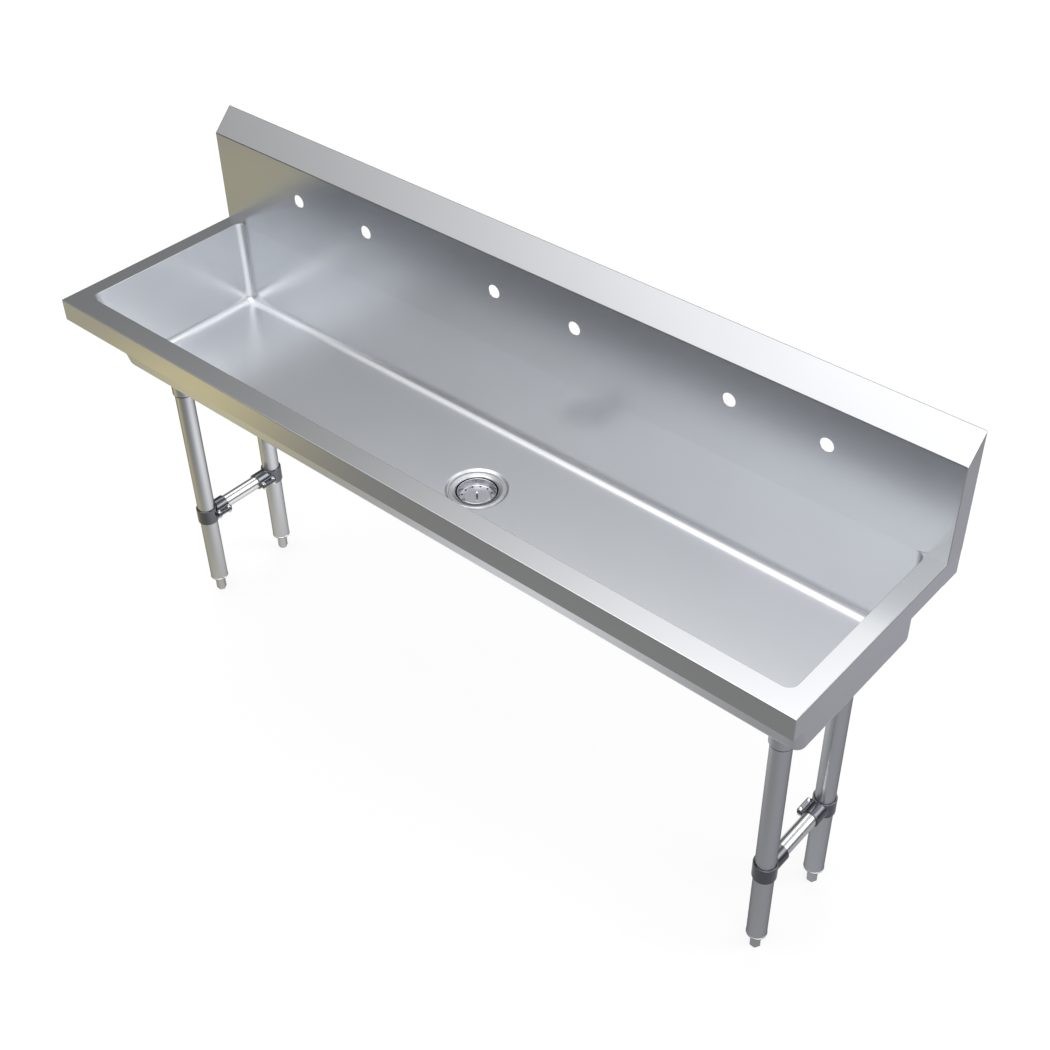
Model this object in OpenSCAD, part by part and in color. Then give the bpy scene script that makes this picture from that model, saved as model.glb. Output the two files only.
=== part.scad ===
// Trough sink on four tube legs. Millimetres, +Z up, front towards -Y, origin on the floor
// below the middle of the sink.

/* [Body] */
// Length of the sink, end to end
body_len = 1828.8; // [1500:0.1:2400]
// Depth of the sink, front edge to wall
body_depth = 502; // [480:1:600]
// Height of the deck above the floor
deck_height = 876.3; // [780:0.1:980]
// Thickness of the sheet
sheet = 1.5; // [1:0.1:2.5]
// Height of the turned down apron
apron_h = 49; // [30:1:80]
// Width of the return along the lower edge of the apron
hem_w = 12; // [6:1:20]
// Width of the rail in front of the bowl
front_rail = 46; // [30:1:70]
// Width of the rail at each end of the bowl
end_rail = 39; // [30:1:80]
// Outside radius of the sheet's bends
bend_r = 2.5; // [2:0.1:4]

/* [Bowl] */
// Depth of the bowl below the deck
bowl_depth = 203.2; // [140:0.1:280]
// How far the front wall leans in between deck and bottom
lean_run = 57; // [0:1:90]
// Radius of the coved corners
cove_r = 19; // [12:1:30]
// Distance from an end's cove to its weld seam
seam_gap = 6; // [3:1:20]

/* [Backsplash] */
// Depth of the splash box
splash_depth = 48; // [40:1:70]
// Height of the splash above the deck
splash_h = 254; // [220:1:360]
// Rise of the slope along the splash's top
splash_slope_h = 48; // [30:1:60]
// Height of the flange turned down at the rear
rear_flange_h = 25; // [12:1:40]
// Width of the flange at each cap's rear edge
cap_flange_w = 14; // [8:1:30]
// Diameter of a faucet hole
faucet_hole_d = 28.6; // [22:0.1:36]
// Distance between the two holes of a faucet
faucet_pair_w = 203.2; // [101.6:0.1:220]
// Number of faucets
faucets = 3; // [2:1:4]
// Distance from the sink's end to the middle of the first faucet
faucet_end = 355.4; // [250:0.1:420]
// Height of the faucet holes above the deck
faucet_h = 127; // [60:1:150]

/* [Legs] */
// Outer diameter of the leg tubes
leg_d = 41.3; // [32:0.1:50]
// Wall of the leg tubes
leg_wall = 1.6; // [1.2:0.1:2.5]
// Distance from the sink's end to the middle of a leg
leg_inset = 113; // [110:1:220]
// Distance between the front and the rear leg
leg_gap = 203; // [180:1:230]
// Wall of a leg socket
socket_wall = 3.2; // [2:0.1:5]
// Length of a leg socket
socket_len = 74.5; // [50:0.5:110]
// Thickness of a leg plate
plate_t = 3; // [2:0.5:6]
// Width of a leg plate
plate_w = 90; // [74:1:96]

/* [Feet] */
// Width of a foot across its flats
foot_af = 20.6; // [16:0.1:28]
// Height of a foot's body
foot_h = 42; // [30:1:60]
// Diameter of the flat under a foot
foot_flat_d = 14; // [8:1:15]
// Diameter of a foot's thread
foot_thread_d = 15.9; // [10:0.1:16]
// Length of a foot's thread
foot_thread_len = 45; // [35:1:70]
// Length of a leg plug inside the tube
plug_len = 30; // [20:1:45]
// Thickness of a leg plug's rim
plug_rim_t = 3; // [2:0.5:6]

/* [Cross rails] */
// Outer diameter of the cross rails
rail_d = 31.75; // [22:0.05:34]
// Wall of the cross rails
rail_wall = 1.5; // [1:0.1:2.5]
// Height of the cross rails above the floor
rail_h = 242; // [140:1:420]
// Wall of a tee clamp
clamp_wall = 3.5; // [2.5:0.1:5]
// Reach of a tee clamp from the middle of the leg
clamp_reach = 52; // [46:1:60]
// Width of the slit in a tee clamp
clamp_slit = 2; // [1:0.1:3]
// Thickness of a lip of a tee clamp
lip_t = 4; // [3:0.1:6]
// Reach of the lips beyond the collar
lip_reach = 11; // [10:0.5:16]
// Diameter of the clamp screws
screw_d = 6; // [4:0.5:6]

/* [Drain] */
// Distance from the deck's front edge to the middle of the drain
drain_y = 275.5; // [230:0.5:300]
// Diameter of the round recess in the bowl's bottom
recess_d = 127; // [122:1:150]
// Depth of the round recess
recess_deep = 3.5; // [2:0.5:6]
// Diameter of the strainer's flange
flange_d = 114.3; // [106:0.1:118]
// Inner diameter of the strainer's throat
throat_d = 85; // [80:1:90]
// Wall of the strainer body
strainer_wall = 1.9; // [1.5:0.1:2.5]
// Height of the strainer's cup
cup_h = 38; // [37:1:50]
// Inner diameter of the strainer's outlet
outlet_d = 38; // [30:1:40]
// Outer diameter of the strainer's outlet thread
outlet_thread_d = 47.4; // [46:0.1:52]
// Length of the strainer's outlet
outlet_len = 27; // [22:1:40]
// Outer diameter of the tailpiece
tail_d = 38.1; // [32:0.1:38.5]
// Wall of the tailpiece
tail_wall = 1.2; // [0.9:0.1:2]
// Length of the tailpiece
tail_len = 76; // [50:1:120]

/* [Basket] */
// Gap between the basket's rim and the throat
basket_gap = 2.5; // [1:0.5:4]
// How far the basket draws in from its rim to its floor
basket_taper = 3.5; // [2:0.5:7]
// Thickness of the basket
basket_t = 0.9; // [0.7:0.1:1.2]
// Number of perforations
basket_holes = 12; // [8:1:16]
// Diameter of a perforation
basket_hole_d = 4; // [3:0.1:5]
// Distance from the floor's edge to the middle of a perforation
basket_hole_in = 5.5; // [4:0.5:7]
// Diameter of the post
post_d = 4; // [3:0.1:5]
// Height of the post's knob above the basket's floor
post_h = 15; // [12:1:20]
// Travel of the post between open and closed
post_travel = 8; // [6:0.5:8]

/* [Hidden] */

$fn = 64;
// Facets of a round form that is blended by a hull
hull_fn = 32;
// Overrun of every cut past the face it leaves
cut = 1;
// Gap between a part and the part of its own body that holds it
fit_gap = 0.1;
// Gap between a screw and its hole
thread_gap = 0.08;
// Gap between parts that move against each other
move_gap = 0.4;
// Steps along a small bend and along a cove
bend_steps = 4;
cove_steps = 10;

// Places worked out from the sizes above
front_y = -body_depth / 2;
end_x = body_len / 2;
splash_y = body_depth - splash_depth;
// The end pieces reach this far past the cove, where the wrap begins
end_len = end_rail + cove_r + seam_gap;
wrap_len = body_len - 2 * end_len;
faucet_pitch = (body_len - 2 * faucet_end) / (faucets - 1);
lean_len = norm([lean_run, bowl_depth]);
rim_chamfer = sheet;
bowl_floor_z = deck_height - bowl_depth;
bowl_under_z = bowl_floor_z - sheet;
leg_x = end_x - leg_inset;
leg_mid_y = front_y + drain_y;
leg_r = leg_d / 2;
rail_r = rail_d / 2;

// Unit vector along a vector
function unit(v) = v / norm(v);
// Normal to the right of a direction
function right_of(v) = [unit(v)[1], -unit(v)[0]];
// Whether the line turns left (1) or right (-1) at b
function turn(a, b, c) = sign((b - a)[0] * (c - b)[1] - (b - a)[1] * (c - b)[0]);

// Points of the arc that rounds corner b between a and c
function corner_arc(a, b, c, r, steps) =
    let (u = unit(a - b), w = unit(c - b), half = acos(u * w) / 2)
    let (mid = b + unit(u + w) * r / sin(half), first = b + u * r / tan(half) - mid)
    let (start = atan2(first[1], first[0]), sweep = turn(a, b, c) * (180 - 2 * half))
    [for (i = [0:steps]) mid + r * [cos(start + sweep * i / steps), sin(start + sweep * i / steps)]];

// An open line with its corners rounded
function rounded(line, radii, steps) =
    [for (i = [0:len(line) - 1])
        each (i == 0 || i == len(line) - 1 ? [line[i]]
            : corner_arc(line[i - 1], line[i], line[i + 1], radii[i], steps[i]))];

// The same open line moved to its right by d
function beside(line, d) =
    [for (i = [0:len(line) - 1])
        let (before = right_of(line[max(i, 1)] - line[max(i, 1) - 1]),
            after = right_of(line[min(i, len(line) - 2) + 1] - line[min(i, len(line) - 2)]))
        line[i] + d * (before + after) / (1 + before * after)];

// Radii of the hidden side of a folded sheet
function hidden_radii(line, radii, t) =
    [for (i = [0:len(line) - 1])
        i == 0 || i == len(line) - 1 ? 0
            : radii[i] + turn(line[i - 1], line[i], line[i + 1]) * t];

function backwards(list) = [for (i = [len(list) - 1:-1:0]) list[i]];

// Section of a folded sheet: the visible side is the line, the metal lies to its right
module folded(line, radii, steps) {
    back = beside(line, sheet);
    polygon(concat(rounded(line, radii, steps),
        backwards(rounded(back, hidden_radii(line, radii, sheet), steps))));
}

// Runs a section drawn in depth and height along the length of the sink
module along_x(length) {
    rotate([90, 0, 90]) linear_extrude(length) children();
}

// From the deck's front edge at mid length to the sink's own frame
module on_deck() {
    translate([0, front_y, deck_height]) children();
}

// From the drain at the level of the bowl's bottom to the sink's own frame
module at_drain() {
    translate([0, front_y + drain_y, bowl_floor_z]) children();
}

// Folded sheet that runs the length of the sink
wrap_line = [[hem_w, -apron_h], [0, -apron_h], [0, 0], [front_rail, 0],
    [front_rail + lean_run, -bowl_depth], [splash_y, -bowl_depth], [splash_y, 0]];
wrap_radii = [0, bend_r, bend_r, bend_r, cove_r, cove_r, 0];
wrap_steps = [0, bend_steps, bend_steps, bend_steps, cove_steps, cove_steps, 0];

// Round recess in the bowl's bottom, as a solid of revolution; it slants in as much as it is deep
recess_r = recess_d / 2;
module recess_form(grow, top) {
    low = -recess_deep - grow;
    rotate_extrude() polygon([[0, low], [recess_r - recess_deep + grow / 2, low],
        [recess_r + grow / 2, 0], [recess_r + grow / 2, top], [0, top]]);
}

// Roll between the strainer's flange and its throat, which the hole in the bowl clears
throat_r = throat_d / 2;
throat_roll_r = 3.5;
strainer_r = throat_r + strainer_wall;
drain_hole_r = throat_r + throat_roll_r + move_gap;

module basin_wrap() {
    color([0.74, 0.75, 0.76]) difference() {
        union() {
            on_deck() translate([-wrap_len / 2, 0, 0]) along_x(wrap_len)
                folded(wrap_line, wrap_radii, wrap_steps);
            at_drain() recess_form(sheet, -sheet / 2);
        }
        at_drain() recess_form(0, cut);
        at_drain() translate([0, 0, -recess_deep - sheet - cut])
            cylinder(r = drain_hole_r, h = sheet + 2 * cut);
    }
}

// Ball whose rings meet its poles and its equator
module ball(r) {
    rotate_extrude($fn = hull_fn) intersection() {
        circle(r, $fn = hull_fn);
        translate([0, -r]) square([r, 2 * r]);
    }
}

// Place in depth of a cove's centre along the leaning front wall, at height z
function front_centre(z) = front_rail + (cove_r * lean_len - z * lean_run) / bowl_depth;

// The end of the bowl as a closed form with coved edges, x from the sink's end inwards
module bowl_form(r) {
    low = cove_r - bowl_depth;
    high = cove_r + cut;
    hull() for (x = [end_rail + cove_r, end_len + cove_r + cut], z = [low, high]) {
        translate([x, front_centre(z), z]) ball(r);
        translate([x, splash_y - cove_r, z]) ball(r);
    }
}

// Slanted rim of the bowl's mouth at the end piece
module rim_form() {
    hull() for (x = [end_rail + cove_r, end_len + cove_r + cut], y = [front_centre(0), splash_y - cove_r]) {
        translate([x, y, -rim_chamfer - cut]) cylinder(r = cove_r, h = cut, $fn = hull_fn);
        translate([x, min(y, splash_y - cove_r - rim_chamfer), 0])
            cylinder(r = cove_r + rim_chamfer, h = cut, $fn = hull_fn);
    }
}

// Block with rounded top edges along the front and the end, shrunk by one sheet for its hollow
module tray_form(inner, low) {
    radius = bend_r - inner;
    edge = [[inner, low], [inner, -inner], [splash_y + sheet + cut, -inner]];
    side = [[inner, low], [inner, -inner], [end_len + cut, -inner]];
    radii = [0, radius, 0];
    steps = [0, bend_steps, 0];
    intersection() {
        along_x(end_len + cut)
            polygon(concat(rounded(edge, radii, steps), [[splash_y + sheet + cut, low]]));
        translate([0, splash_y + sheet + cut, 0]) rotate([90, 0, 0])
            linear_extrude(splash_y + sheet + cut)
                polygon(concat(rounded(side, radii, steps), [[end_len + cut, low]]));
    }
}

// Rail, aprons and their returns round one end
module end_tray() {
    difference() {
        tray_form(0, -apron_h);
        tray_form(sheet, sheet - apron_h);
        translate([hem_w, hem_w, -apron_h - cut])
            cube([end_len + cut, splash_y + sheet + cut, apron_h]);
        translate([-cut, splash_y, -apron_h - cut])
            cube([cut + sheet, sheet + 2 * cut, apron_h + 2 * cut]);
        translate([end_len, -cut, -apron_h - cut])
            cube([2 * cut, splash_y + sheet + 3 * cut, apron_h + 2 * cut]);
        translate([-cut, splash_y + sheet, -apron_h - cut])
            cube([end_len + 2 * cut, 2 * cut, apron_h + 2 * cut]);
    }
}

// One end of the bowl, x from the sink's end inwards
module basin_end() {
    difference() {
        union() {
            end_tray();
            intersection() {
                bowl_form(cove_r + sheet);
                translate([0, 0, -bowl_depth - sheet - cut])
                    cube([end_len, body_depth, bowl_depth + sheet + cut]);
            }
        }
        bowl_form(cove_r);
        rim_form();
    }
}

module left_basin_end() {
    color([0.72, 0.73, 0.74]) on_deck() translate([-end_x, 0, 0]) basin_end();
}

module right_basin_end() {
    color([0.72, 0.73, 0.74]) on_deck() mirror([1, 0, 0]) translate([-end_x, 0, 0]) basin_end();
}

// Folded sheet of the splash, between the two caps; the rear fold's round brings its top to splash_h
splash_front_h = splash_h - splash_slope_h;
rear_half = (90 - atan(splash_slope_h / splash_depth)) / 2;
splash_rear_h = splash_h + bend_r * (1 / tan(rear_half) - 1);
splash_line = [[splash_y, 0], [splash_y, splash_front_h], [body_depth, splash_rear_h],
    [body_depth, splash_h - rear_flange_h]];
splash_radii = [0, bend_r, bend_r, 0];
splash_steps = [0, bend_steps, bend_steps, 0];

module backsplash() {
    color([0.76, 0.77, 0.78]) on_deck() difference() {
        translate([sheet - end_x, 0, 0]) along_x(body_len - 2 * sheet)
            folded(splash_line, splash_radii, splash_steps);
        for (i = [0:faucets - 1], side = [-1, 1])
            translate([(i - (faucets - 1) / 2) * faucet_pitch + side * faucet_pair_w / 2,
                splash_y - cut, faucet_h])
                rotate([-90, 0, 0]) cylinder(d = faucet_hole_d, h = sheet + 2 * cut);
    }
}

// Cap that closes one end of the splash, x from the sink's end inwards
module splash_cap() {
    outline = [[splash_y, -apron_h], [splash_y, splash_front_h], [body_depth, splash_rear_h],
        [body_depth, -apron_h]];
    along_x(sheet) polygon(rounded(outline, splash_radii, splash_steps));
    translate([0, body_depth - sheet, -apron_h])
        cube([cap_flange_w, sheet, apron_h + splash_h - rear_flange_h]);
}

module left_splash_cap() {
    color([0.70, 0.71, 0.73]) on_deck() translate([-end_x, 0, 0]) splash_cap();
}

module right_splash_cap() {
    color([0.70, 0.71, 0.73]) on_deck() mirror([1, 0, 0]) translate([-end_x, 0, 0]) splash_cap();
}

// Plate welded under the bowl, which carries the two sockets of one end
plate_corner = plate_w / 8;
plate_len = leg_gap + plate_w;
module leg_plate(side) {
    color([0.62, 0.63, 0.64])
        translate([side * leg_x, leg_mid_y, bowl_under_z - plate_t]) linear_extrude(plate_t) {
            square([plate_w - 2 * plate_corner, plate_len], center = true);
            square([plate_w, plate_len - 2 * plate_corner], center = true);
            for (x = [-1, 1], y = [-1, 1])
                translate([x * (plate_w / 2 - plate_corner), y * (plate_len / 2 - plate_corner)])
                    circle(plate_corner);
        }
}

// Everything of one leg is drawn about the leg's own line
module at_leg(side, row) {
    translate([side * leg_x, leg_mid_y + row * leg_gap / 2, 0]) children();
}

plate_under_z = bowl_under_z - plate_t;
socket_low_z = plate_under_z - socket_len;
boss_r = 7.5;
boss_reach = leg_r + boss_r;
set_screw_r = boss_r / 2;
boss_z = socket_low_z + socket_len / 3;

module socket(side, row) {
    color([0.66, 0.67, 0.69]) at_leg(side, row) difference() {
        union() {
            translate([0, 0, socket_low_z]) cylinder(r = leg_r + fit_gap + socket_wall, h = socket_len);
            translate([0, 0, boss_z]) rotate([-90, 0, 0]) cylinder(r = boss_r, h = boss_reach);
        }
        translate([0, 0, socket_low_z - cut]) cylinder(r = leg_r + fit_gap, h = socket_len + 2 * cut);
        translate([0, 0, boss_z]) rotate([-90, 0, 0])
            cylinder(r = set_screw_r + thread_gap, h = boss_reach + cut);
    }
}

// Headless screws with a hexagon recess, one through each socket's boss
module socket_screws() {
    length = boss_reach - leg_r - fit_gap;
    color([0.45, 0.45, 0.47]) for (side = [-1, 1], row = [-1, 1])
        at_leg(side, row) translate([0, leg_r + fit_gap, boss_z]) rotate([-90, 0, 0]) difference() {
            cylinder(r = set_screw_r, h = length);
            translate([0, 0, length / 2]) cylinder(r = set_screw_r / 2, h = length, $fn = 6);
        }
}

// Heights of the lower end of a leg, from the floor up
foot_top_z = foot_h;
plug_low_z = foot_top_z + move_gap;
leg_low_z = plug_low_z + plug_rim_t;
leg_top_z = plate_under_z - move_gap;

module leg(side, row) {
    color([0.68, 0.70, 0.71]) at_leg(side, row) translate([0, 0, leg_low_z]) difference() {
        cylinder(r = leg_r, h = leg_top_z - leg_low_z);
        translate([0, 0, -cut]) cylinder(r = leg_r - leg_wall, h = leg_top_z - leg_low_z + 2 * cut);
    }
}

// Threaded plug in the lower end of a leg; its rim shows as a bright ring
module plug(side, row) {
    plug_r = leg_r - leg_wall - fit_gap;
    bore_r = foot_thread_d / 2 + thread_gap;
    round_r = plug_rim_t / 2;
    color([0.82, 0.83, 0.84]) at_leg(side, row) translate([0, 0, plug_low_z]) rotate_extrude()
        polygon(concat([[bore_r, 0]],
            [for (a = [-90:15:0]) [leg_r - round_r + round_r * cos(a), round_r + round_r * sin(a)]],
            [[leg_r, plug_rim_t], [plug_r, plug_rim_t], [plug_r, plug_rim_t + plug_len],
                [bore_r, plug_rim_t + plug_len]]));
}

// Foot: hexagon body drawn in to a flat below, and the thread above
foot_corner_r = foot_af / 2 / cos(30);
module foot(side, row) {
    taper_h = foot_corner_r;
    edge = foot_corner_r / 10;
    color([0.60, 0.61, 0.62]) at_leg(side, row) {
        intersection() {
            cylinder(r = foot_corner_r, h = foot_h, $fn = 6);
            rotate_extrude() polygon(concat([[0, 0]],
                [for (a = [0:15:90]) [foot_flat_d / 2 + (foot_corner_r - foot_flat_d / 2) * sin(a),
                    taper_h * (1 - cos(a))]],
                [[foot_corner_r, foot_h - edge], [foot_corner_r - edge, foot_h], [0, foot_h]]));
        }
        translate([0, 0, foot_h - cut]) cylinder(d = foot_thread_d, h = foot_thread_len + cut);
    }
}

// Rail between the front and the rear leg of one end
band_r = leg_r + fit_gap + clamp_wall;
band_edge = clamp_wall / 4;
collar_r = rail_r + fit_gap + clamp_wall;
rail_end_gap = 1;
rail_len = leg_gap - 2 * (band_r + rail_end_gap);
module cross_rail(side) {
    color([0.86, 0.87, 0.88]) translate([side * leg_x, leg_mid_y + rail_len / 2, rail_h])
        rotate([90, 0, 0]) difference() {
            cylinder(r = rail_r, h = rail_len);
            translate([0, 0, -cut]) cylinder(r = rail_r - rail_wall, h = rail_len + 2 * cut);
        }
}

// Places of the two clamp screws, from the leg's line: across and along the rail.
// The first one clears the band by its own nut.
lip_edge = collar_r + lip_reach;
screw_r = screw_d / 2;
nut_r = screw_d * 0.95;
screw_x = lip_edge - lip_reach / 2;
near_y = sqrt(max(pow(band_r + nut_r + move_gap, 2) - pow(screw_x, 2), pow(screw_d, 2)));
screw_places = [[screw_x, near_y], [screw_x, clamp_reach - screw_d]];
lip_start = near_y - screw_d;
lip_round = screw_r;

// Tee clamp: band round the leg, collar round the rail, and two lips that the screws draw together
module clamp_form() {
    difference() {
        union() {
            rotate_extrude() polygon([[0, -collar_r], [band_r - band_edge, -collar_r],
                [band_r, band_edge - collar_r], [band_r, collar_r - band_edge],
                [band_r - band_edge, collar_r], [0, collar_r]]);
            rotate([-90, 0, 0]) cylinder(r = collar_r, h = clamp_reach);
            translate([0, 0, -clamp_slit / 2 - lip_t]) linear_extrude(clamp_slit + 2 * lip_t) {
                translate([0, lip_start]) square([lip_edge - lip_round, clamp_reach - lip_start]);
                translate([0, lip_start + lip_round])
                    square([lip_edge, clamp_reach - lip_start - 2 * lip_round]);
                for (y = [lip_start + lip_round, clamp_reach - lip_round])
                    translate([lip_edge - lip_round, y]) circle(lip_round);
            }
        }
        translate([0, 0, -collar_r - cut]) cylinder(r = leg_r + fit_gap, h = 2 * (collar_r + cut));
        rotate([-90, 0, 0]) cylinder(r = rail_r + fit_gap, h = clamp_reach + cut);
        translate([leg_r / 2, lip_start - cut, -clamp_slit / 2])
            cube([lip_edge, clamp_reach, clamp_slit]);
        for (p = screw_places)
            translate([p[0], p[1], -lip_t - clamp_slit])
                cylinder(r = screw_r + thread_gap, h = 2 * (lip_t + clamp_slit));
    }
}

// The clamp is drawn for the front left leg and is alike above and below, so turning it over
// brings its lips towards the middle of the sink on any leg
module tee_clamp(side, row) {
    color([0.30, 0.31, 0.33]) at_leg(side, row) translate([0, 0, rail_h])
        rotate([row < 0 ? 0 : 180, side < 0 ? 0 : 180, 0]) clamp_form();
}

// The lines of all eight clamp screws
module at_screws() {
    for (side = [-1, 1], row = [-1, 1], p = screw_places)
        at_leg(side, row) translate([-side * p[0], -row * p[1], rail_h]) children();
}

lip_top = clamp_slit / 2 + lip_t;
head_r = screw_d * 0.8;
head_h = screw_d / 2;
head_ball_r = head_r * 1.25;
nut_h = screw_d * 0.8;
module clamp_screws() {
    color([0.85, 0.85, 0.86]) at_screws() {
        translate([0, 0, -lip_top - nut_h - screw_r])
            cylinder(r = screw_r, h = 2 * lip_top + nut_h + screw_r);
        translate([0, 0, lip_top]) difference() {
            intersection() {
                cylinder(r = head_r, h = head_h);
                translate([0, 0, head_h - head_ball_r]) sphere(head_ball_r);
            }
            translate([0, 0, head_h / 2]) cylinder(r = head_r / 2, h = head_h, $fn = 6);
        }
    }
}

module clamp_nuts() {
    color([0.80, 0.80, 0.82]) at_screws() translate([0, 0, -lip_top - nut_h]) difference() {
        cylinder(r = nut_r, h = nut_h, $fn = 6);
        translate([0, 0, -cut]) cylinder(r = screw_r + thread_gap, h = nut_h + 2 * cut);
    }
}

// Levels of the drain, from the bowl's bottom down
flange_r = flange_d / 2;
flange_lip_w = 5;
dish_fall = 1.2;
ledge_z = -recess_deep;
lip_z = ledge_z + strainer_wall;
under_z = ledge_z - sheet;
gasket_t = 3;
ring_t = 1;
locknut_t = 9;
locknut_z = under_z - gasket_t - ring_t - locknut_t;
thread_low_z = locknut_z - gasket_t;
outlet_r = outlet_d / 2;
outlet_thread_r = outlet_thread_d / 2;
seat_w = 9;
seat_rise = 2;
seat_edge = 1;
seat_r = outlet_r + seat_w;
cone_top_z = -cup_h * 0.28;
seat_z = -cup_h;
seat_top_z = seat_z + seat_rise;
neck_h = 5;
neck_z = seat_z - neck_h;
outlet_low_z = seat_z - outlet_len;
cross_t = 3;
cross_z = neck_z - 1.4 * cross_t;

// Strainer body: dished flange, cup, cone, flat seat, threaded outlet, and a cross over the outlet
module strainer_body() {
    roll_z = lip_z - dish_fall - throat_roll_r;
    roll = [for (a = [90:15:180])
        [throat_r + throat_roll_r + throat_roll_r * cos(a), roll_z + throat_roll_r * sin(a)]];
    color([0.84, 0.85, 0.86]) at_drain() {
        rotate_extrude() polygon(concat([[flange_r, ledge_z], [flange_r, ledge_z + strainer_wall / 2],
            [flange_r - strainer_wall / 2, lip_z], [flange_r - flange_lip_w, lip_z]],
            roll,
            [[throat_r, cone_top_z], [seat_r, seat_top_z], [seat_r, seat_z],
            [outlet_r + seat_edge, seat_z], [outlet_r, seat_z - seat_edge],
            [outlet_r, outlet_low_z], [outlet_thread_r, outlet_low_z], [outlet_thread_r, neck_z],
            [seat_r + strainer_wall, seat_z], [strainer_r, thread_low_z],
            [strainer_r, ledge_z - throat_roll_r], [throat_r + throat_roll_r, ledge_z]]));
        intersection() {
            translate([0, 0, cross_z]) cylinder(r = outlet_r + strainer_wall, h = cross_t);
            for (a = [0, 90]) rotate(a) translate([-outlet_r - strainer_wall, -strainer_wall / 2, cross_z])
                cube([2 * (outlet_r + strainer_wall), strainer_wall, cross_t]);
        }
    }
}

// Flat ring about the drain's line
module ring(low_z, height, outer_r, inner_r) {
    at_drain() translate([0, 0, low_z]) difference() {
        cylinder(r = outer_r, h = height);
        translate([0, 0, -cut]) cylinder(r = inner_r, h = height + 2 * cut);
    }
}

module strainer_gasket() {
    color([0.12, 0.12, 0.12])
        ring(under_z - gasket_t, gasket_t, flange_r, throat_r + throat_roll_r + fit_gap);
}

module friction_ring() {
    color([0.55, 0.50, 0.42])
        ring(under_z - gasket_t - ring_t, ring_t, flange_r - ring_t, strainer_r + fit_gap);
}

// Ring nut with lugs to drive it round
lugs = 8;
lug_w = 6;
locknut_rim_t = 3;
locknut_wall = 4;
module locknut() {
    wall_r = strainer_r + locknut_wall;
    color([0.62, 0.60, 0.56]) at_drain() translate([0, 0, locknut_z]) difference() {
        union() {
            translate([0, 0, locknut_t - locknut_rim_t])
                cylinder(r = flange_r - 2 * ring_t, h = locknut_rim_t);
            cylinder(r = wall_r, h = locknut_t);
            for (i = [0:lugs - 1]) rotate(i * 360 / lugs)
                translate([wall_r - locknut_wall / 2, -lug_w / 2, 0])
                    cube([locknut_wall / 2 + locknut_rim_t, lug_w, locknut_t]);
        }
        translate([0, 0, -cut]) cylinder(r = strainer_r + thread_gap, h = locknut_t + 2 * cut);
    }
}

// Levels of the outlet's joint
washer_t = 2.5;
tail_top_z = outlet_low_z - washer_t;
tail_r = tail_d / 2;
tail_flange_t = 1.5;
tail_flange_r = outlet_thread_r - tail_flange_t;
nut_above = 14;
nut_below = 4;
nut_wall = 3;
flange_low_z = tail_top_z - tail_flange_t;
nut_low_z = flange_low_z - nut_below;
// The tube is thicker under its flange, as far down as the coupling nut holds it
tail_neck_r = tail_r + tail_wall / 2;

module outlet_washer() {
    color([0.9, 0.9, 0.88]) ring(tail_top_z, washer_t, tail_flange_r, tail_r - tail_wall);
}

module tailpiece() {
    inner_r = tail_r - tail_wall;
    color([0.84, 0.85, 0.86]) at_drain() rotate_extrude() polygon([
        [inner_r, tail_top_z], [tail_flange_r, tail_top_z], [tail_flange_r, flange_low_z],
        [tail_neck_r, flange_low_z], [tail_neck_r, nut_low_z], [tail_r, nut_low_z],
        [tail_r, tail_top_z - tail_len], [inner_r, tail_top_z - tail_len]]);
}

// Hexagon nut that holds the tailpiece's flange up against the outlet
module coupling_nut() {
    nut_corner_r = (outlet_thread_r + nut_wall) / cos(30);
    color([0.80, 0.81, 0.82]) at_drain() difference() {
        translate([0, 0, nut_low_z])
            cylinder(r = nut_corner_r, h = outlet_low_z + nut_above - nut_low_z, $fn = 6);
        translate([0, 0, flange_low_z])
            cylinder(r = outlet_thread_r + thread_gap, h = outlet_low_z + nut_above + cut - flange_low_z);
        translate([0, 0, nut_low_z - cut]) cylinder(r = tail_neck_r + thread_gap, h = nut_below + 2 * cut);
    }
}

// The edge of the basket's floor stands on the strainer's cone
basket_r = throat_r - basket_gap;
basket_floor_r = basket_r - basket_taper;
cone_fall = (cone_top_z - seat_top_z) / (throat_r - seat_r);
basket_under_z = cone_top_z - (throat_r - basket_floor_r) * cone_fall + move_gap;
basket_floor_z = basket_under_z + basket_t;
basket_rim_z = lip_z - dish_fall - throat_roll_r + basket_t;
hole_ring_r = basket_floor_r - basket_hole_in;
raised_r = hole_ring_r - basket_hole_d;
raised_h = 1.2;
hub_r = post_d * 1.25;
hub_h = 2;
hub_low_z = basket_under_z - hub_h;
post_bore_r = post_d / 2 + move_gap;

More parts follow.
